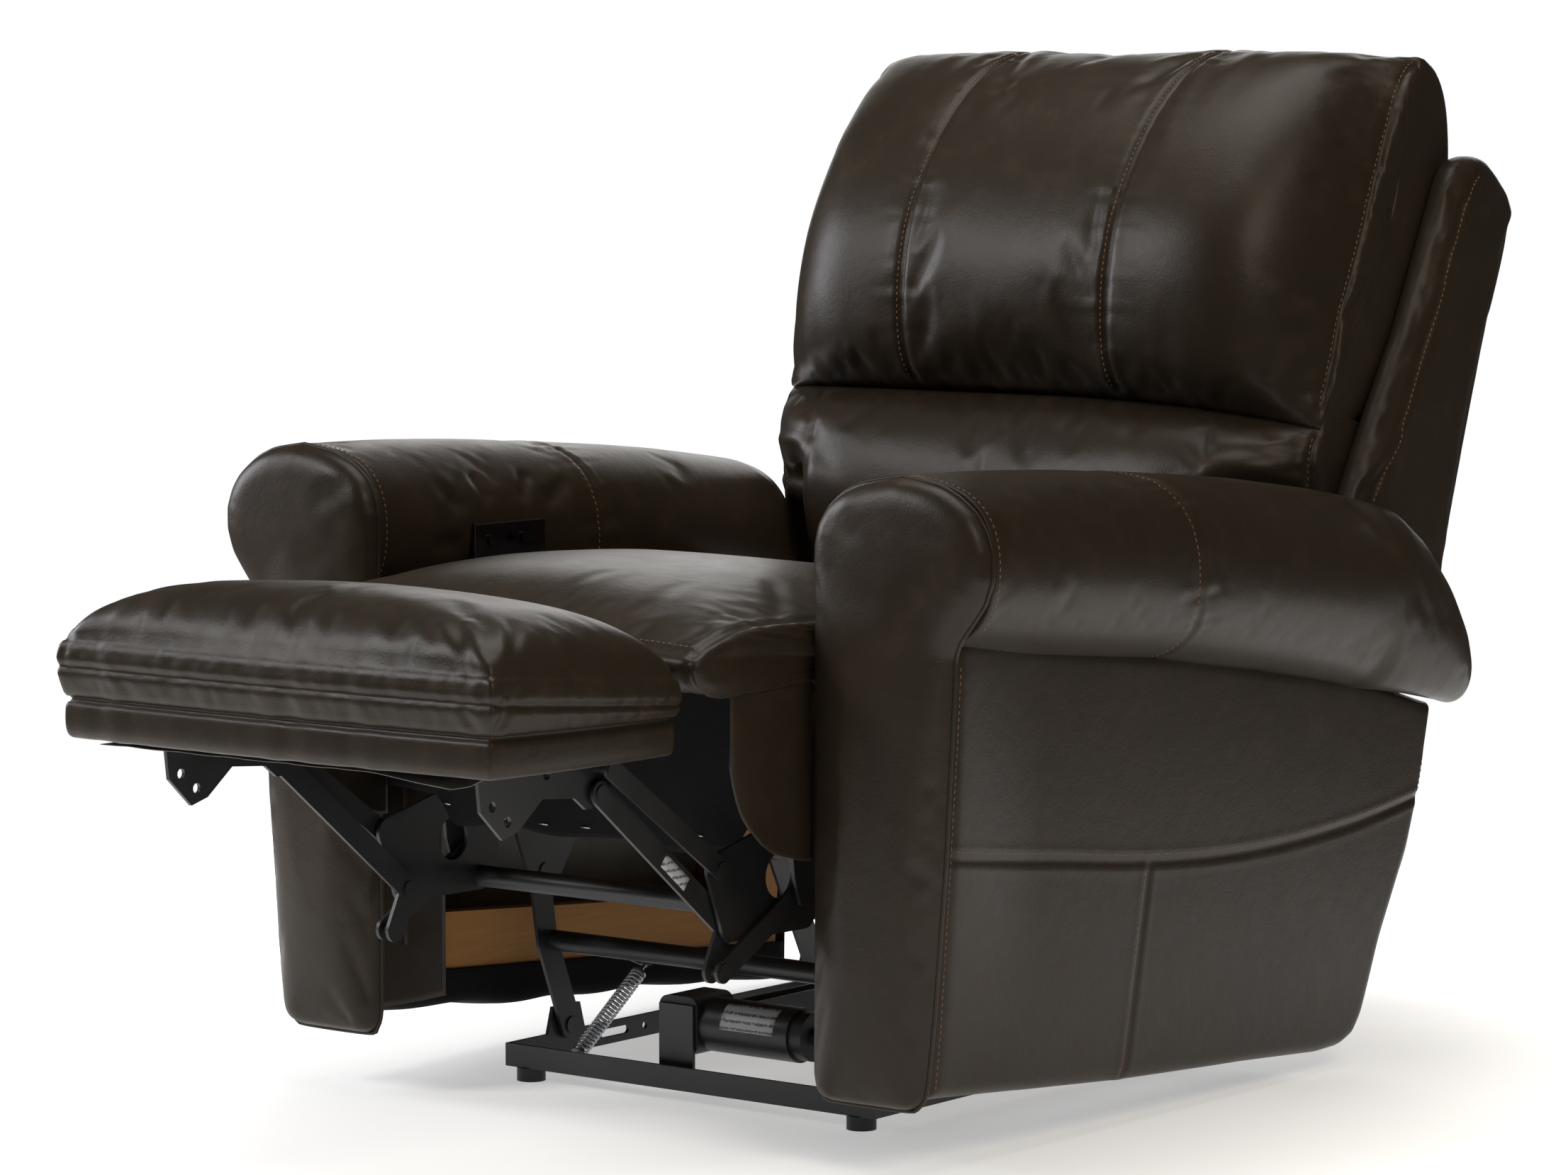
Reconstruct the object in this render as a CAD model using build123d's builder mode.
"""Power recliner armchair: separate named pieces in one frame, millimetres, +Z up, front toward -Y."""
import os
from math import cos, radians, sin

from build123d import *

# Driving dimensions. Y values are measured back from the plane of the arm fronts, Z from the floor.
ARM_FRONT_Y = -342.0
TILT_DEG = 4.5
SEAT_HALF_WIDTH = 276.0
SEAT_GAP = 4.0
ARM_WIDTH = 205.0
ROLL_OVERHANG = 65.0
PANEL_THICKNESS = 22.5
FOOTREST_HALF_WIDTH = 275.0
BACK_WIDER_THAN_SEAT = 109.0
WING_THICKNESS = 27.0
STEEL = 4.0
BOARD = 22.0
FIT = 0.06

# X positions that follow from the seat's width
ARM_INNER_X = SEAT_HALF_WIDTH + SEAT_GAP
ARM_OUTER_X = ARM_INNER_X + ARM_WIDTH
ARM_PANEL_X = ARM_OUTER_X - ROLL_OVERHANG
ARM_BACKING_X = ARM_PANEL_X - PANEL_THICKNESS
ARM_FRAME_X = ARM_INNER_X + 22.0
FACING_X = ARM_INNER_X + 9.0
BACK_HALF_WIDTH = SEAT_HALF_WIDTH + BACK_WIDER_THAN_SEAT
CUSHION_HALF_WIDTH = BACK_HALF_WIDTH - WING_THICKNESS

# X positions of the steel layers, inner face of each
BRACKET_X = 194.0
UPPER_LINK_X = 201.0
LOWER_LINK_X = 208.0
CONTROL_X = 215.0
CARRIAGE_X = 222.0
SWING_X = 229.0
BASE_X = 236.0

# Pivots (Y from the arm fronts, Z)
FRONT_FOOT_PIVOT = (250.0, 45.0)
FRONT_TOP_PIVOT = (200.0, 215.0)
REAR_FOOT_PIVOT = (679.0, 45.0)
REAR_TOP_PIVOT = (600.0, 200.0)
LOWER_PIVOT = (130.0, 330.0)
ELBOW = (-34.93, 225.96)
TORQUE_TUBE = (82.0, 225.0)
LOWER_HORN = (-57.8, 285.0)
FOOTREST_PIVOT = (-220.0, 374.0)
FOOTREST_UPPER_PIVOT = (-220.0, 398.0)
CONTROL_PIVOT = (70.5, 252.5)
CONTROL_END = (-54.9, 186.0)
BACK_PIVOT = (690.0, 400.0)
STUD_R = 6.0
SMALL_STUD_R = 5.0
TUBE_R = 11.0
OPEN_HOLE_R = STUD_R + 4.6

# Base, feet and drive
RAIL_FRONT_Y = 156.0
RAIL_REAR_Y = 740.0
RAIL_DEPTH = 24.0
FOOT_X = 215.0
FOOT_HEIGHT = 14.0
MOTOR_Y = 210.0
MOTOR_Z = 76.0
TRACK_X = -28.0

SIDES = (("left", -1.0), ("right", 1.0))
os.makedirs("parts", exist_ok=True)


def at(point):
    """Model Y and Z of a point given from the arm fronts."""
    return (ARM_FRONT_Y + point[0], point[1])


def between(start, end, share):
    """Point part of the way from start to end."""
    return (start[0] + (end[0] - start[0]) * share, start[1] + (end[1] - start[1]) * share)


def save(made, label):
    """Label one finished piece and write it."""
    made.part.label = label
    export_step(made.part, f"parts/{label}.step")


def side_solid(points, x, depth, mode=Mode.ADD):
    """Straight-sided outline in the plane at x, extruded along X inside the open part."""
    with BuildSketch(Plane.YZ.offset(x)) as profile:
        with BuildLine():
            Polyline(*[at(p) for p in points], close=True)
        make_face()
    extrude(profile.sketch, amount=depth, mode=mode)


def cushion(points, half_width, edge=26.0, taper=32.0):
    """Soft block across the chair with both ends drawn in, inside the open part."""
    side_solid(points, edge - half_width, 2 * (half_width - edge))
    for sign in (-1.0, 1.0):
        with BuildSketch(Plane.YZ.offset(sign * (half_width - edge))) as profile:
            with BuildLine():
                Polyline(*[at(p) for p in points], close=True)
            make_face()
        extrude(profile.sketch, amount=sign * edge, taper=taper)


def disc(point, radius, x_from, x_to, mode=Mode.ADD):
    """Round stud, boss or bore along X inside the open part."""
    with BuildSketch(Plane.YZ.offset(x_from)) as profile:
        with Locations(at(point)):
            Circle(radius)
    extrude(profile.sketch, amount=x_to - x_from, mode=mode)


def link_plate(points, radius, x_from, x_to):
    """Flat link: hull of discs round its pivots, inside the open part."""
    with BuildSketch(Plane.YZ.offset(x_from)) as profile:
        for point in points:
            with Locations(at(point)):
                Circle(radius)
        make_hull()
    extrude(profile.sketch, amount=x_to - x_from)


# Base rails: steel angle, flat leg down
for label, y_out, y_in in (
    ("base_front_rail", RAIL_FRONT_Y, RAIL_FRONT_Y + RAIL_DEPTH),
    ("base_rear_rail", RAIL_REAR_Y, RAIL_REAR_Y - RAIL_DEPTH),
):
    web = STEEL if y_in > y_out else -STEEL
    foot_y = (y_out + y_in) / 2
    with BuildPart() as rail:
        side_solid(
            (
                (y_out, FOOT_HEIGHT),
                (y_in, FOOT_HEIGHT),
                (y_in, FOOT_HEIGHT + STEEL),
                (y_out + web, FOOT_HEIGHT + STEEL),
                (y_out + web, FOOT_HEIGHT + 24),
                (y_out, FOOT_HEIGHT + 24),
            ),
            -BASE_X,
            2 * BASE_X,
        )
        with BuildSketch(Plane.XY.offset(FOOT_HEIGHT)):
            with Locations((-FOOT_X, ARM_FRONT_Y + foot_y), (FOOT_X, ARM_FRONT_Y + foot_y)):
                Circle(4.1)
        extrude(amount=STEEL, mode=Mode.SUBTRACT)
    save(rail, label)

# Side rails with pivot ears, slots and lower pivot studs
for side, sign in SIDES:
    with BuildPart() as side_rail:
        side_solid(
            (
                (RAIL_FRONT_Y, 14),
                (RAIL_REAR_Y, 14),
                (RAIL_REAR_Y, 38),
                (706, 40),
                (700, 66),
                (658, 66),
                (648, 38),
                (280, 38),
                (272, 66),
                (228, 66),
                (220, 38),
                (RAIL_FRONT_Y, 38),
            ),
            sign * BASE_X,
            sign * STEEL,
        )
        with BuildSketch(Plane.YZ.offset(sign * BASE_X)):
            with Locations(at((330, 26)), at((430, 26)), at((530, 26))):
                SlotOverall(46, 9)
            with Locations(at((380, 26)), at((480, 26)), at((600, 26))):
                Circle(4)
        extrude(amount=sign * STEEL, mode=Mode.SUBTRACT)
        for pivot in (FRONT_FOOT_PIVOT, REAR_FOOT_PIVOT):
            disc(pivot, STUD_R, sign * BASE_X, sign * (SWING_X - 0.2))
            disc(pivot, 9, sign * (SWING_X - 0.2), sign * (SWING_X - 1.8))
    save(side_rail, f"base_side_rail_{side}")

# Four feet with studs, and the nuts that hold them
with BuildPart() as feet:
    for foot_y in (RAIL_FRONT_Y + RAIL_DEPTH / 2, RAIL_REAR_Y - RAIL_DEPTH / 2):
        for side, sign in SIDES:
            with BuildSketch():
                with Locations((sign * FOOT_X, ARM_FRONT_Y + foot_y)):
                    Circle(15)
            extrude(amount=FOOT_HEIGHT)
            with BuildSketch(Plane.XY.offset(FOOT_HEIGHT)):
                with Locations((sign * FOOT_X, ARM_FRONT_Y + foot_y)):
                    Circle(4)
            extrude(amount=14)
save(feet, "base_feet")

with BuildPart() as foot_nuts:
    for foot_y in (RAIL_FRONT_Y + RAIL_DEPTH / 2, RAIL_REAR_Y - RAIL_DEPTH / 2):
        with BuildSketch(Plane.XY.offset(FOOT_HEIGHT + STEEL)):
            with Locations((-FOOT_X, ARM_FRONT_Y + foot_y), (FOOT_X, ARM_FRONT_Y + foot_y)):
                RegularPolygon(7.5, 6)
                Circle(4.05, mode=Mode.SUBTRACT)
        extrude(amount=6.5)
save(foot_nuts, "foot_nuts")

# Drive: bracket, gearbox, motor, track and screw
GEAR_FRONT_Y = RAIL_FRONT_Y + RAIL_DEPTH
GEAR_REAR_Y = GEAR_FRONT_Y + 60.0
with BuildPart() as motor_bracket:
    side_solid(
        (
            (GEAR_FRONT_Y - STEEL, FOOT_HEIGHT + STEEL),
            (GEAR_FRONT_Y, FOOT_HEIGHT + STEEL),
            (GEAR_FRONT_Y, 98),
            (GEAR_FRONT_Y - STEEL, 98),
        ),
        TRACK_X - 22,
        44,
    )
save(motor_bracket, "motor_bracket")

with BuildPart() as gearbox:
    with BuildSketch(Plane.XZ.offset(-(ARM_FRONT_Y + GEAR_FRONT_Y))):
        with Locations((TRACK_X, MOTOR_Z)):
            RectangleRounded(50, 60, 12)
    extrude(amount=-(GEAR_REAR_Y - GEAR_FRONT_Y))
save(gearbox, "motor_gearbox")

CAN_X = TRACK_X + 25.0
with BuildPart() as motor_can:
    disc((MOTOR_Y, MOTOR_Z), 28, CAN_X, CAN_X + 112)
save(motor_can, "motor_can")
with BuildPart() as motor_cap:
    disc((MOTOR_Y, MOTOR_Z), 25, CAN_X + 112, CAN_X + 128)
    disc((MOTOR_Y, MOTOR_Z), 9, CAN_X + 128, CAN_X + 133)
save(motor_cap, "motor_end_cap")

TRACK_REAR_Y = RAIL_REAR_Y - STEEL
with BuildPart() as track:
    with BuildSketch(Plane.XZ.offset(-(ARM_FRONT_Y + GEAR_REAR_Y))):
        with Locations((TRACK_X, 74)):
            Rectangle(26, 24)
        with Locations((TRACK_X, 76)):
            Rectangle(21, 20.1, mode=Mode.SUBTRACT)
    extrude(amount=-(TRACK_REAR_Y - GEAR_REAR_Y))
save(track, "actuator_track")
with BuildPart() as track_bracket:
    with BuildSketch(Plane.XY.offset(FOOT_HEIGHT + STEEL)):
        with Locations((TRACK_X, ARM_FRONT_Y + TRACK_REAR_Y - 9)):
            Rectangle(24, 16)
    extrude(amount=62 - FOOT_HEIGHT - STEEL)
save(track_bracket, "track_bracket")
with BuildPart() as screw:
    with BuildSketch(Plane.XZ.offset(-(ARM_FRONT_Y + GEAR_REAR_Y))):
        with Locations((TRACK_X, 76)):
            Circle(5)
    extrude(amount=-(TRACK_REAR_Y - GEAR_REAR_Y))
save(screw, "lead_screw")

# Drive nut with its fork round the rear cross tube
REAR_TUBE = between(REAR_FOOT_PIVOT, REAR_TOP_PIVOT, 0.5)
FORK_GAP = TUBE_R + 3.0
with BuildPart() as nut:
    nut_y = REAR_TUBE[0]
    side_solid(
        (
            (nut_y - 24, 67),
            (nut_y + 24, 67),
            (nut_y + 24, 142),
            (nut_y + FORK_GAP, 142),
            (nut_y + FORK_GAP, 102),
            (nut_y - FORK_GAP, 102),
            (nut_y - FORK_GAP, 142),
            (nut_y - 24, 142),
        ),
        TRACK_X - 10,
        20,
    )
    with BuildSketch(Plane.XZ.offset(-(ARM_FRONT_Y + nut_y - 24))):
        with Locations((TRACK_X, 76)):
            Circle(5 + FIT)
    extrude(amount=-48, mode=Mode.SUBTRACT)
save(nut, "drive_nut")

# Thin motor lead along the right side rail
with BuildPart() as lead:
    with BuildLine() as route:
        Spline(
            (CAN_X + 133, *at((MOTOR_Y, MOTOR_Z))),
            (CAN_X + 168, *at((MOTOR_Y + 30, 56))),
            (BASE_X - 30, *at((330, 32))),
            (BASE_X - 22, *at((520, 30))),
            tangents=((1, 0, 0), (0, 1, 0)),
        )
    with BuildSketch(Plane(origin=route.line @ 0, z_dir=route.line % 0)):
        Circle(2.4)
    sweep()
save(lead, "motor_lead")

# Front swing links, curved, joined by a cross tube with a spring lug
FRONT_TUBE = between(FRONT_FOOT_PIVOT, FRONT_TOP_PIVOT, 0.55)
FRONT_BOW = (FRONT_TUBE[0] - 10, FRONT_TUBE[1])
SPRING_X = -165.0
SPRING_TOP = (297.0, 112.0)
SPRING_FOOT = (RAIL_FRONT_Y + 15.0, FOOT_HEIGHT + STEEL + 3.0)
for side, sign in SIDES:
    with BuildPart() as front_link:
        link_plate((FRONT_FOOT_PIVOT, FRONT_BOW), 15, sign * SWING_X, sign * (SWING_X + STEEL))
        link_plate((FRONT_BOW, FRONT_TOP_PIVOT), 15, sign * SWING_X, sign * (SWING_X + STEEL))
        disc(FRONT_FOOT_PIVOT, STUD_R + FIT, sign * SWING_X, sign * (SWING_X + STEEL), Mode.SUBTRACT)
        disc(FRONT_TOP_PIVOT, STUD_R, sign * SWING_X, sign * (CARRIAGE_X - 0.2))
        disc(FRONT_TOP_PIVOT, 9, sign * (CARRIAGE_X - 0.2), sign * (CARRIAGE_X - 1.7))
    save(front_link, f"front_swing_link_{side}")
with BuildPart() as front_tube:
    disc(FRONT_TUBE, TUBE_R, -SWING_X, SWING_X)
    disc(FRONT_TUBE, TUBE_R - 2, -SWING_X, SWING_X, Mode.SUBTRACT)
    with BuildSketch(Plane.YZ.offset(SPRING_X - 12)):
        with BuildLine():
            Polyline(
                at((FRONT_TUBE[0] + 10, FRONT_TUBE[1] + 4)),
                at((SPRING_TOP[0] + 12, SPRING_TOP[1] + 8)),
                at((SPRING_TOP[0] + 12, SPRING_TOP[1] - 8)),
                at((FRONT_TUBE[0] + 10, FRONT_TUBE[1] - 4)),
                close=True,
            )
        make_face()
    extrude(amount=STEEL)
    disc(SPRING_TOP, 3, SPRING_X - 12, SPRING_X + 6)
save(front_tube, "front_cross_tube")

# Assist spring: close coil between the front rail and the lug on the front cross tube
SPRING_R = 7.0
SPRING_WIRE_R = 1.4
SPRING_TURNS = 24
spring_run = (SPRING_TOP[0] - SPRING_FOOT[0], SPRING_TOP[1] - SPRING_FOOT[1])
spring_length = (spring_run[0] ** 2 + spring_run[1] ** 2) ** 0.5
spring_start = between(SPRING_FOOT, SPRING_TOP, 0.12)
coil_height = spring_length * 0.76
with BuildPart() as spring:
    with BuildLine() as coil:
        Helix(
            pitch=coil_height / SPRING_TURNS,
            height=coil_height,
            radius=SPRING_R,
            center=(SPRING_X, *at(spring_start)),
            direction=(0, *spring_run),
        )
    with BuildSketch(Plane(origin=coil.line @ 0, z_dir=coil.line % 0)):
        Circle(SPRING_WIRE_R)
    sweep(is_frenet=True)
    spring_dir = (0, spring_run[0] / spring_length, spring_run[1] / spring_length)
    for start, size in ((0.02, 0.10), (0.88, 0.12 - 3.4 / spring_length)):
        with BuildSketch(Plane(origin=(SPRING_X, *at(between(SPRING_FOOT, SPRING_TOP, start))), z_dir=spring_dir)):
            Circle(2)
        extrude(amount=size * spring_length)
    for share in (0.105, 0.88):
        with BuildSketch(Plane(origin=(SPRING_X, *at(between(SPRING_FOOT, SPRING_TOP, share))), z_dir=spring_dir)):
            Circle(SPRING_R + 1)
        extrude(amount=3)
save(spring, "assist_spring")

# Rear swing links with a wide top hole, joined by the drive tube
for side, sign in SIDES:
    with BuildPart() as rear_link:
        link_plate((REAR_FOOT_PIVOT, REAR_TOP_PIVOT), 17, sign * SWING_X, sign * (SWING_X + STEEL))
        disc(REAR_FOOT_PIVOT, STUD_R + FIT, sign * SWING_X, sign * (SWING_X + STEEL), Mode.SUBTRACT)
        disc(REAR_TOP_PIVOT, OPEN_HOLE_R, sign * SWING_X, sign * (SWING_X + STEEL), Mode.SUBTRACT)
    save(rear_link, f"rear_swing_link_{side}")
with BuildPart() as drive_tube:
    disc(REAR_TUBE, TUBE_R, -SWING_X, SWING_X)
    disc(REAR_TUBE, TUBE_R - 2, -SWING_X, SWING_X, Mode.SUBTRACT)
save(drive_tube, "rear_cross_tube")

# Carriage side plates with fixed studs
for side, sign in SIDES:
    with BuildPart() as carriage_plate:
        side_solid(
            (
                (30, 396),
                (46, 266),
                (56, 238),
                (86, 238),
                (148, 276),
                (178, 204),
                (200, 195),
                (222, 204),
                (262, 262),
                (540, 236),
                (576, 188),
                (600, 180),
                (624, 188),
                (650, 262),
                (716, 372),
                (716, 424),
                (668, 424),
                (640, 352),
            ),
            sign * CARRIAGE_X,
            sign * STEEL,
        )
        disc(FRONT_TOP_PIVOT, STUD_R + FIT, sign * CARRIAGE_X, sign * (CARRIAGE_X + STEEL), Mode.SUBTRACT)
        for hole in ((330, 300), (420, 292), (510, 284)):
            disc(hole, 18, sign * CARRIAGE_X, sign * (CARRIAGE_X + STEEL), Mode.SUBTRACT)
        disc(REAR_TOP_PIVOT, STUD_R, sign * (CARRIAGE_X + STEEL), sign * (SWING_X + STEEL + 0.4))
        disc(REAR_TOP_PIVOT, 14, sign * (SWING_X + STEEL + 0.4), sign * (SWING_X + STEEL + 1.8))
        disc(LOWER_PIVOT, STUD_R, sign * CARRIAGE_X, sign * (LOWER_LINK_X - 0.2))
        disc(LOWER_PIVOT, 9, sign * (LOWER_LINK_X - 0.2), sign * (LOWER_LINK_X - 1.7))
        disc(CONTROL_PIVOT, SMALL_STUD_R, sign * CARRIAGE_X, sign * (CONTROL_X - 0.2))
        disc(CONTROL_PIVOT, 8, sign * (CONTROL_X - 0.2), sign * (CONTROL_X - 1.6))
        disc(BACK_PIVOT, STUD_R, sign * CARRIAGE_X, sign * (CONTROL_X - 0.2))
        disc(BACK_PIVOT, 10, sign * (CONTROL_X - 0.2), sign * (CONTROL_X - 2.0))
    save(carriage_plate, f"carriage_plate_{side}")

# Footrest lower links with the torque tube
for side, sign in SIDES:
    with BuildPart() as lower_link:
        link_plate(
            (LOWER_PIVOT, ELBOW, TORQUE_TUBE, LOWER_HORN), 14, sign * LOWER_LINK_X, sign * (LOWER_LINK_X + STEEL)
        )
        disc((40, 268), 22, sign * LOWER_LINK_X, sign * (LOWER_LINK_X + STEEL), Mode.SUBTRACT)
        disc(LOWER_PIVOT, STUD_R + FIT, sign * LOWER_LINK_X, sign * (LOWER_LINK_X + STEEL), Mode.SUBTRACT)
        disc(ELBOW, SMALL_STUD_R, sign * LOWER_LINK_X, sign * (UPPER_LINK_X - 0.2))
        disc(ELBOW, 8, sign * (UPPER_LINK_X - 0.2), sign * (UPPER_LINK_X - 1.7))
        disc(LOWER_HORN, SMALL_STUD_R, sign * (LOWER_LINK_X + STEEL), sign * (CONTROL_X + STEEL + 0.3))
        disc(LOWER_HORN, 8, sign * (CONTROL_X + STEEL + 0.3), sign * (CONTROL_X + STEEL + 1.6))
    save(lower_link, f"footrest_lower_link_{side}")
with BuildPart() as torque_tube:
    disc(TORQUE_TUBE, TUBE_R, -LOWER_LINK_X, LOWER_LINK_X)
    disc(TORQUE_TUBE, TUBE_R - 2, -LOWER_LINK_X, LOWER_LINK_X, Mode.SUBTRACT)
save(torque_tube, "footrest_torque_tube")

# Footrest upper links, wide channel stampings with a lower ear
for side, sign in SIDES:
    with BuildPart() as upper_link:
        link_plate((ELBOW, FOOTREST_PIVOT), 12, sign * UPPER_LINK_X, sign * (UPPER_LINK_X + STEEL))
        link_plate((ELBOW, CONTROL_END), 12, sign * UPPER_LINK_X, sign * (UPPER_LINK_X + STEEL))
        for pivot in (ELBOW, FOOTREST_PIVOT):
            disc(pivot, SMALL_STUD_R + FIT, sign * UPPER_LINK_X, sign * (UPPER_LINK_X + STEEL), Mode.SUBTRACT)
        disc(CONTROL_END, SMALL_STUD_R, sign * (UPPER_LINK_X + STEEL), sign * (CONTROL_X + STEEL + 0.3))
        disc(CONTROL_END, 8, sign * (CONTROL_X + STEEL + 0.3), sign * (CONTROL_X + STEEL + 1.6))
    save(upper_link, f"footrest_upper_link_{side}")

# Control links, one pair below and one pair above
with BuildPart() as lower_control:
    for side, sign in SIDES:
        link_plate((CONTROL_PIVOT, CONTROL_END), 11, sign * CONTROL_X, sign * (CONTROL_X + STEEL))
        disc(CONTROL_PIVOT, SMALL_STUD_R + FIT, sign * CONTROL_X, sign * (CONTROL_X + STEEL), Mode.SUBTRACT)
        disc(CONTROL_END, SMALL_STUD_R + 0.6, sign * CONTROL_X, sign * (CONTROL_X + STEEL), Mode.SUBTRACT)
save(lower_control, "footrest_lower_control_links")
with BuildPart() as upper_control:
    for side, sign in SIDES:
        link_plate((LOWER_HORN, FOOTREST_UPPER_PIVOT), 10, sign * CONTROL_X, sign * (CONTROL_X + STEEL))
        disc(LOWER_HORN, SMALL_STUD_R + FIT, sign * CONTROL_X, sign * (CONTROL_X + STEEL), Mode.SUBTRACT)
        disc(FOOTREST_UPPER_PIVOT, SMALL_STUD_R + 0.9, sign * CONTROL_X, sign * (CONTROL_X + STEEL), Mode.SUBTRACT)
save(upper_control, "footrest_upper_control_links")

# Footrest: steel brackets, board and padded top
FOOTREST_FRONT_Y = -456.0
FOOTREST_REAR_Y = -183.0
BOARD_Z = 420.0
PAD_Z = BOARD_Z + 20.0
for side, sign in SIDES:
    with BuildPart() as footrest_bracket:
        side_solid(
            (
                (-388, BOARD_Z),
                (-382, 372),
                (-352, 344),
                (-330, 350),
                (-296, 376),
                (-250, 372),
                (-234, 360),
                (-208, 360),
                (-198, 376),
                (-196, BOARD_Z),
            ),
            sign * BRACKET_X,
            sign * STEEL,
        )
        with BuildSketch(Plane.XY.offset(BOARD_Z - 3)):
            with Locations((sign * (BRACKET_X - 13), ARM_FRONT_Y - 292)):
                Rectangle(26, 190)
        extrude(amount=3)
        for hole in ((-366, 376), (-345, 360), (-290, 398)):
            disc(hole, 5, sign * BRACKET_X, sign * (BRACKET_X + STEEL), Mode.SUBTRACT)
        disc(FOOTREST_PIVOT, SMALL_STUD_R, sign * (BRACKET_X + STEEL), sign * (UPPER_LINK_X + STEEL + 0.3))
        disc(FOOTREST_PIVOT, 8, sign * (UPPER_LINK_X + STEEL + 0.3), sign * (UPPER_LINK_X + STEEL + 1.8))
        disc(FOOTREST_UPPER_PIVOT, SMALL_STUD_R, sign * (BRACKET_X + STEEL), sign * (CONTROL_X + STEEL + 0.3))
        disc(FOOTREST_UPPER_PIVOT, 8, sign * (CONTROL_X + STEEL + 0.3), sign * (CONTROL_X + STEEL + 1.6))
    save(footrest_bracket, f"footrest_bracket_{side}")
with BuildPart() as footrest_board:
    side_solid(
        (
            (FOOTREST_FRONT_Y + 4, BOARD_Z),
            (FOOTREST_REAR_Y - 4, BOARD_Z),
            (FOOTREST_REAR_Y - 4, PAD_Z),
            (FOOTREST_FRONT_Y + 4, PAD_Z),
        ),
        -FOOTREST_HALF_WIDTH + 4,
        2 * FOOTREST_HALF_WIDTH - 8,
    )
    fillet(footrest_board.edges().filter_by(Axis.Z), 18)
save(footrest_board, "footrest_board")
PAD_MID_Y = ARM_FRONT_Y + (FOOTREST_FRONT_Y + FOOTREST_REAR_Y) / 2
PAD_DEPTH = FOOTREST_REAR_Y - FOOTREST_FRONT_Y
PAD_SEAM_Z = 512.0
PAD_CROWN_Z = 541.0
with BuildPart() as footrest_pad:
    with BuildSketch(Plane.XY.offset(PAD_Z)):
        with Locations((0, PAD_MID_Y)):
            RectangleRounded(2 * FOOTREST_HALF_WIDTH, PAD_DEPTH, 24)
    extrude(amount=PAD_SEAM_Z - PAD_Z)
    for z, inset in ((PAD_SEAM_Z, 0.0), (PAD_CROWN_Z, 60.0)):
        with BuildSketch(Plane.XY.offset(z)):
            with Locations((0, PAD_MID_Y - inset / 8)):
                RectangleRounded(2 * (FOOTREST_HALF_WIDTH - inset), PAD_DEPTH - 1.7 * inset, 24)
    loft()
save(footrest_pad, "footrest_pad")

# Seat box, nose board, springs, cushion and apron; all follow the carriage tilt
SLOPE = sin(radians(TILT_DEG)) / cos(radians(TILT_DEG))
SEAT_BOX_FRONT = 14.0
SEAT_BOX_REAR = 655.0
SEAT_TOP_Z = 452.0


def sloped(y, height=0.0):
    """Point on the tilted line under the cushion, at a height above it."""
    return (y, SEAT_TOP_Z - (y - SEAT_BOX_FRONT) * SLOPE + height)


BOX_X = CARRIAGE_X - 0.5
with BuildPart() as seat_box:
    side_solid(
        (
            sloped(SEAT_BOX_FRONT, -80),
            sloped(SEAT_BOX_REAR, -80),
            sloped(SEAT_BOX_REAR, -0.5),
            sloped(SEAT_BOX_FRONT, -0.5),
        ),
        -BOX_X,
        2 * BOX_X,
    )
    side_solid(
        (
            sloped(SEAT_BOX_FRONT + BOARD, -90),
            sloped(SEAT_BOX_REAR - BOARD, -90),
            sloped(SEAT_BOX_REAR - BOARD, 10),
            sloped(SEAT_BOX_FRONT + BOARD, 10),
        ),
        -BOX_X + BOARD,
        2 * (BOX_X - BOARD), mode=Mode.SUBTRACT,
    )
save(seat_box, "seat_box")
with BuildPart() as nose_board:
    side_solid((sloped(-118, -12), sloped(13.5, -12), sloped(13.5, -0.5), sloped(-118, -0.5)), -SEAT_HALF_WIDTH + 6, 2 * SEAT_HALF_WIDTH - 12)
save(nose_board, "seat_nose_board")

spring_level = Plane(
    origin=(0, *at(sloped((SEAT_BOX_FRONT + SEAT_BOX_REAR) / 2, -12))),
    x_dir=(1, 0, 0),
    z_dir=(0, sin(radians(TILT_DEG)), cos(radians(TILT_DEG))),
)
WIRE_SPAN = (SEAT_BOX_REAR - SEAT_BOX_FRONT) / 2 - BOARD - 1.3
WAVES = 20
with BuildPart() as seat_wires:
    for wire_x in (-140.0, -70.0, 0.0, 70.0, 140.0):
        with BuildSketch(spring_level):
            with BuildLine() as wave:
                Polyline(
                    *[
                        (wire_x + (20 if n % 4 in (1, 2) else -20), -WIRE_SPAN + n * WIRE_SPAN / WAVES)
                        for n in range(2 * WAVES + 1)
                    ]
                )
            trace(line_width=4)
        extrude(amount=4)
save(seat_wires, "seat_springs")

with BuildPart() as seat_cushion:
    cushion(
        (
            sloped(-128),
            (-158, 474),
            (-166, 494),
            (-150, 512),
            (-90, 532),
            (120, 548),
            (420, 532),
            sloped(SEAT_BOX_REAR, 108),
            sloped(SEAT_BOX_REAR),
        ),
        SEAT_HALF_WIDTH,
    )
save(seat_cushion, "seat_cushion")
with BuildPart() as apron:
    side_solid(((10, 318), (13.5, 318), (13.5, 438), (10, 438)), -BRACKET_X + 4, 2 * BRACKET_X - 8)
save(apron, "seat_apron")

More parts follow.
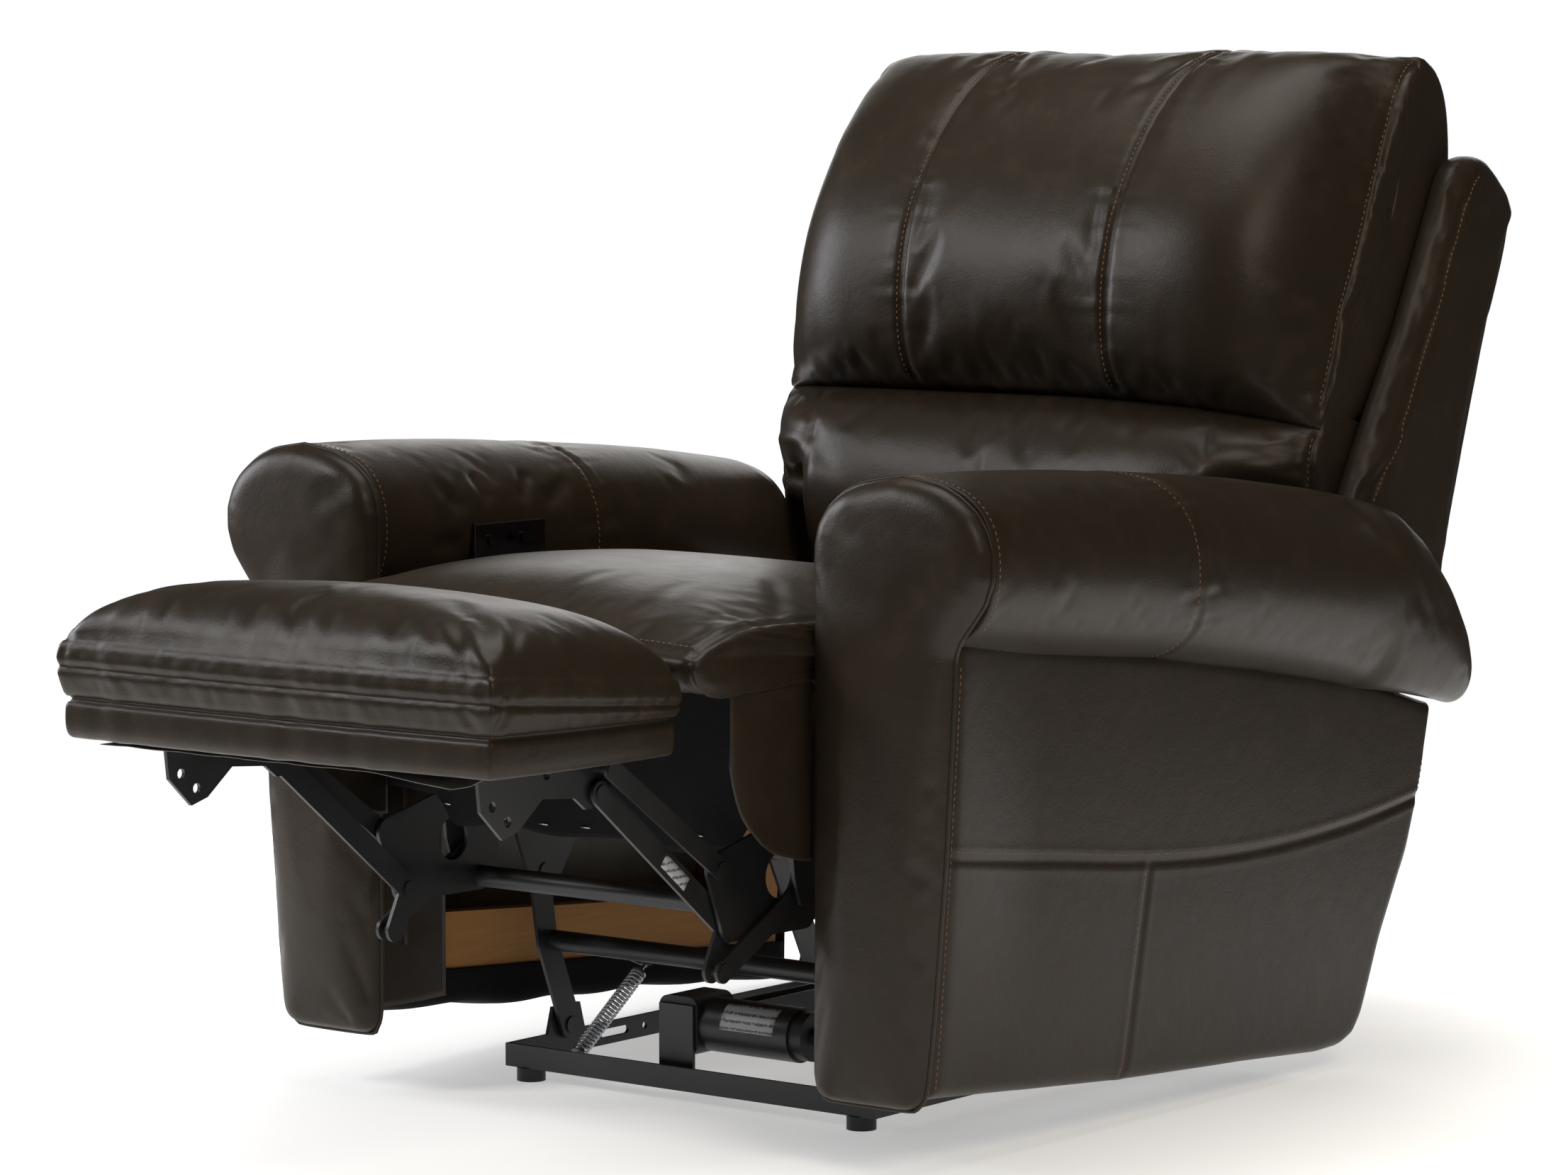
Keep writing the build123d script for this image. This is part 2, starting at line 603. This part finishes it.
# Arms: wooden frame, outer panel, front facing, inner pad and bolster
SOCKET_Y = 212.0
BUTTON_PITCH = 26.0
BUTTON_Z = 560.0
BUTTON_YS = {"open": SOCKET_Y - BUTTON_PITCH, "close": SOCKET_Y + BUTTON_PITCH}
PLATE_X = 3.0 - ARM_INNER_X
PLATE_DEPTH = 52.0
PLATE_GAP = 0.4
PLATE_FRONT_Y = SOCKET_Y - BUTTON_PITCH - 31.6
PLATE_REAR_Y = SOCKET_Y + BUTTON_PITCH + 29.6
PLATE_FOOT_Z = BUTTON_Z - 43.6
PLATE_TOP_Z = BUTTON_Z + 17.6
NECK_FRONT = (14.0, 498.0)
NECK_MID = (468.0, 441.0)
NECK_REAR = (915.0, 370.0)
POST_REACH = ARM_BACKING_X - 0.5 - ARM_FRAME_X
for side, sign in SIDES:
    with BuildPart() as arm_frame:
        side_solid(((22, 92), (690, 42), (704, 250), (690, 384), (22, 478)), sign * ARM_FRAME_X, sign * BOARD)
        side_solid(((84, 176), (634, 132), (634, 300), (84, 352)), sign * (ARM_FRAME_X - 2), sign * (BOARD + 6), mode=Mode.SUBTRACT)
        side_solid(((22, 92), (46, 90), (46, 474), (22, 478)), sign * (ARM_FRAME_X + BOARD), sign * (POST_REACH - BOARD))
        side_solid(((660, 46), (684, 44), (684, 380), (660, 384)), sign * (ARM_FRAME_X + BOARD), sign * (POST_REACH - BOARD))
    save(arm_frame, f"arm_frame_{side}")

    with BuildPart() as outer_panel:
        side_solid(
            (
                (14, 72),
                (700, 22),
                (752, 26),
                (780, 52),
                (814, 126),
                (868, 217),
                (892, 280),
                NECK_REAR,
                NECK_MID,
                NECK_FRONT,
            ),
            sign * ARM_BACKING_X,
            sign * PANEL_THICKNESS,
        )
    save(outer_panel, f"arm_outer_panel_{side}")

    with BuildPart() as front_panel:
        with BuildSketch(Plane.XZ.offset(-(ARM_FRONT_Y + 13.5))):
            with BuildLine():
                Polyline(
                    (sign * FACING_X, 64),
                    (sign * (ARM_PANEL_X - 32), 64),
                    (sign * ARM_PANEL_X, 500),
                    (sign * FACING_X, 500),
                    close=True,
                )
            make_face()
            with Locations((sign * (ARM_INNER_X + ARM_OUTER_X) / 2, 580)):
                RectangleRounded(ARM_OUTER_X - ARM_INNER_X, 166, 80)
        extrude(amount=26)
        fillet(front_panel.faces().sort_by(Axis.Y)[0].edges(), 9)
    save(front_panel, f"arm_front_panel_{side}")

    with BuildPart() as inner_panel:
        side_solid(((14, 440), (724, 390), (724, 399), (14, 490)), sign * (ARM_INNER_X + 2), sign * 18)
    save(inner_panel, f"arm_inner_panel_{side}")

    with BuildPart() as bolster:
        for y, top, foot, inner, outer in (
            (14.0, 662.0, 500.0, ARM_INNER_X, ARM_OUTER_X),
            (380.0, 648.0, 462.0, ARM_INNER_X, ARM_OUTER_X),
            (726.0, 614.0, 406.0, ARM_INNER_X + 4, ARM_OUTER_X),
        ):
            with BuildSketch(Plane.XZ.offset(-(ARM_FRONT_Y + y))):
                with Locations((sign * (inner + outer) / 2, (top + foot) / 2)):
                    RectangleRounded(outer - inner, top - foot, 78)
        loft()
        for y, top, foot, inner, outer in (
            (726.0, 606.0, 406.0, ARM_BACKING_X - 0.5, ARM_OUTER_X - 1),
            (840.0, 544.0, 388.0, ARM_BACKING_X - 0.5, ARM_OUTER_X - 5),
            (918.0, 460.0, 376.0, ARM_BACKING_X - 0.5, ARM_OUTER_X - 24),
        ):
            with BuildSketch(Plane.XZ.offset(-(ARM_FRONT_Y + y))):
                with Locations((sign * (inner + outer) / 2, (top + foot) / 2)):
                    RectangleRounded(outer - inner, top - foot, 30)
        loft()
        # the outer panel tops out inside the roll, so the roll is cut along the neck line
        side_solid((NECK_FRONT, NECK_MID, NECK_REAR, (915, 20), (14, 20)), sign * (ARM_INNER_X - 10), sign * (ARM_WIDTH + 25), mode=Mode.SUBTRACT)
        side_solid(((14, 430), (724.3, 380), (724.3, 399.3), (14, 490.3)), sign * (ARM_INNER_X + 1), sign * 20, mode=Mode.SUBTRACT)
        if side == "left":
            side_solid(
                (
                    (PLATE_FRONT_Y - PLATE_GAP, PLATE_FOOT_Z - PLATE_GAP),
                    (PLATE_REAR_Y + PLATE_GAP, PLATE_FOOT_Z - PLATE_GAP),
                    (PLATE_REAR_Y + PLATE_GAP, PLATE_TOP_Z + PLATE_GAP),
                    (PLATE_FRONT_Y - PLATE_GAP, PLATE_TOP_Z + PLATE_GAP),
                ),
                -(ARM_INNER_X + 50),
                70,
                mode=Mode.SUBTRACT,
            )
    save(bolster, f"arm_bolster_{side}")

with BuildPart() as arm_brackets:
    for side, sign in SIDES:
        for y in (340.0, 500.0):
            with BuildSketch(Plane.XY.offset(300)):
                with Locations((sign * (CARRIAGE_X + STEEL + ARM_FRAME_X) / 2, ARM_FRONT_Y + y)):
                    Rectangle(ARM_FRAME_X - CARRIAGE_X - STEEL, 44)
            extrude(amount=STEEL)
            side_solid(((y - 22, 304), (y + 22, 304), (y + 22, 334), (y - 22, 334)), sign * (ARM_FRAME_X - STEEL), sign * STEEL)
save(arm_brackets, "arm_brackets")

# Control plate in the far arm with two buttons and a charging socket
with BuildPart() as plate:
    side_solid(
        (
            (PLATE_FRONT_Y, PLATE_FOOT_Z),
            (PLATE_REAR_Y, PLATE_FOOT_Z),
            (PLATE_REAR_Y, PLATE_TOP_Z),
            (PLATE_FRONT_Y, PLATE_TOP_Z),
        ),
        PLATE_X - PLATE_DEPTH,
        PLATE_DEPTH,
    )
    fillet(plate.faces().sort_by(Axis.X)[-1].edges().filter_by(Axis.X, reverse=True), 2)
    for y in BUTTON_YS.values():
        with BuildSketch(Plane.YZ.offset(PLATE_X)):
            with Locations(at((y, BUTTON_Z))):
                RectangleRounded(24.6, 12.6, 4.3)
        extrude(amount=-14, mode=Mode.SUBTRACT)
    with BuildSketch(Plane.YZ.offset(PLATE_X)):
        with Locations(at((SOCKET_Y, BUTTON_Z))):
            Rectangle(14, 7)
    extrude(amount=-12, mode=Mode.SUBTRACT)
save(plate, "control_plate")
with BuildPart() as socket:
    with BuildSketch(Plane.YZ.offset(PLATE_X - 1)):
        with Locations(at((SOCKET_Y, BUTTON_Z))):
            Rectangle(13.8, 6.8)
            Rectangle(11, 4, mode=Mode.SUBTRACT)
    extrude(amount=-10)
save(socket, "charging_socket")
for name, y in BUTTON_YS.items():
    with BuildPart() as button:
        with BuildSketch(Plane.YZ.offset(PLATE_X + 3)):
            with Locations(at((y, BUTTON_Z))):
                RectangleRounded(24, 12, 4)
        extrude(amount=-12)
    save(button, f"button_{name}")

# Back: shell with wings, frame, hinge brackets, lumbar and head cushions
WING_X = CUSHION_HALF_WIDTH + 0.3
SHELL_FACE = ((797, 584), (850, 668), (915, 767), (1007, 941))
SHELL_TOP = ((1040, 950), (1122, 919))
SHELL_REAR = ((1140, 892), (1080, 730), (988, 465), (962, 392), (880, 410))
with BuildPart() as shell:
    side_solid((*SHELL_FACE, *SHELL_TOP, *SHELL_REAR), -BACK_HALF_WIDTH, 2 * BACK_HALF_WIDTH)
    side_solid(
        (
            (700, 560),
            (850, 372),
            (938, 392),
            (966, 472),
            (1058, 738),
            (1118, 900),
            (1060, 1000),
            (980, 1000),
        ),
        -WING_X,
        2 * WING_X, mode=Mode.SUBTRACT,
    )
save(shell, "back_shell")

with BuildPart() as back_frame:
    side_solid(((898, 430), (932, 420), (1050, 748), (1096, 878), (1064, 892), (1020, 772)), -WING_X + 0.3, 2 * WING_X - 0.6)
    side_solid(((850, 500), (988, 458), (1110, 830), (1000, 860)), -WING_X + 63, 2 * WING_X - 126, mode=Mode.SUBTRACT)
save(back_frame, "back_frame")

with BuildPart() as hinge_brackets:
    for side, sign in SIDES:
        side_solid(
            ((674, 392), (690, 382), (720, 388), (884, 424), (897, 431), (905, 456), (884, 466), (700, 418), (676, 410)),
            sign * CONTROL_X,
            sign * STEEL,
        )
        disc(BACK_PIVOT, STUD_R + FIT, sign * CONTROL_X, sign * (CONTROL_X + STEEL), Mode.SUBTRACT)
        with BuildSketch(Plane.YZ.offset(sign * (CONTROL_X + STEEL))):
            with BuildLine():
                Polyline(at((893, 430)), at((897.5, 431)), at((904.5, 452)), at((900, 453)), close=True)
            make_face()
        extrude(amount=sign * 34)
save(hinge_brackets, "back_hinge_brackets")

with BuildPart() as lumbar:
    cushion(
        (
            (752, 486),
            (754, 540),
            (760, 610),
            (776, 668),
            (800, 690),
            (878, 660),
            (900, 600),
            (880, 520),
            (850, 480),
            (780, 470),
        ),
        CUSHION_HALF_WIDTH,
    )
    # fuller between the arms
    cushion(
        (
            (722, 474),
            (700, 502),
            (690, 545),
            (687, 590),
            (692, 640),
            (720, 681),
            (752, 693),
            (800, 690),
            (800, 480),
        ),
        SEAT_HALF_WIDTH - 10,
        edge=16.0,
    )
save(lumbar, "back_lumbar_cushion")

with BuildPart() as head:
    cushion(
        (
            (800, 697),
            (752, 702),
            (726, 719),
            (709, 752),
            (705, 795),
            (712, 850),
            (731, 905),
            (766, 958),
            (812, 1004),
            (866, 1042),
            (914, 1060),
            (972, 1062),
            (1010, 1030),
            (1038, 962),
            (1040, 880),
            (960, 720),
            (900, 672),
        ),
        CUSHION_HALF_WIDTH,
        edge=52.0,
        taper=42.0,
    )
save(head, "back_head_cushion")
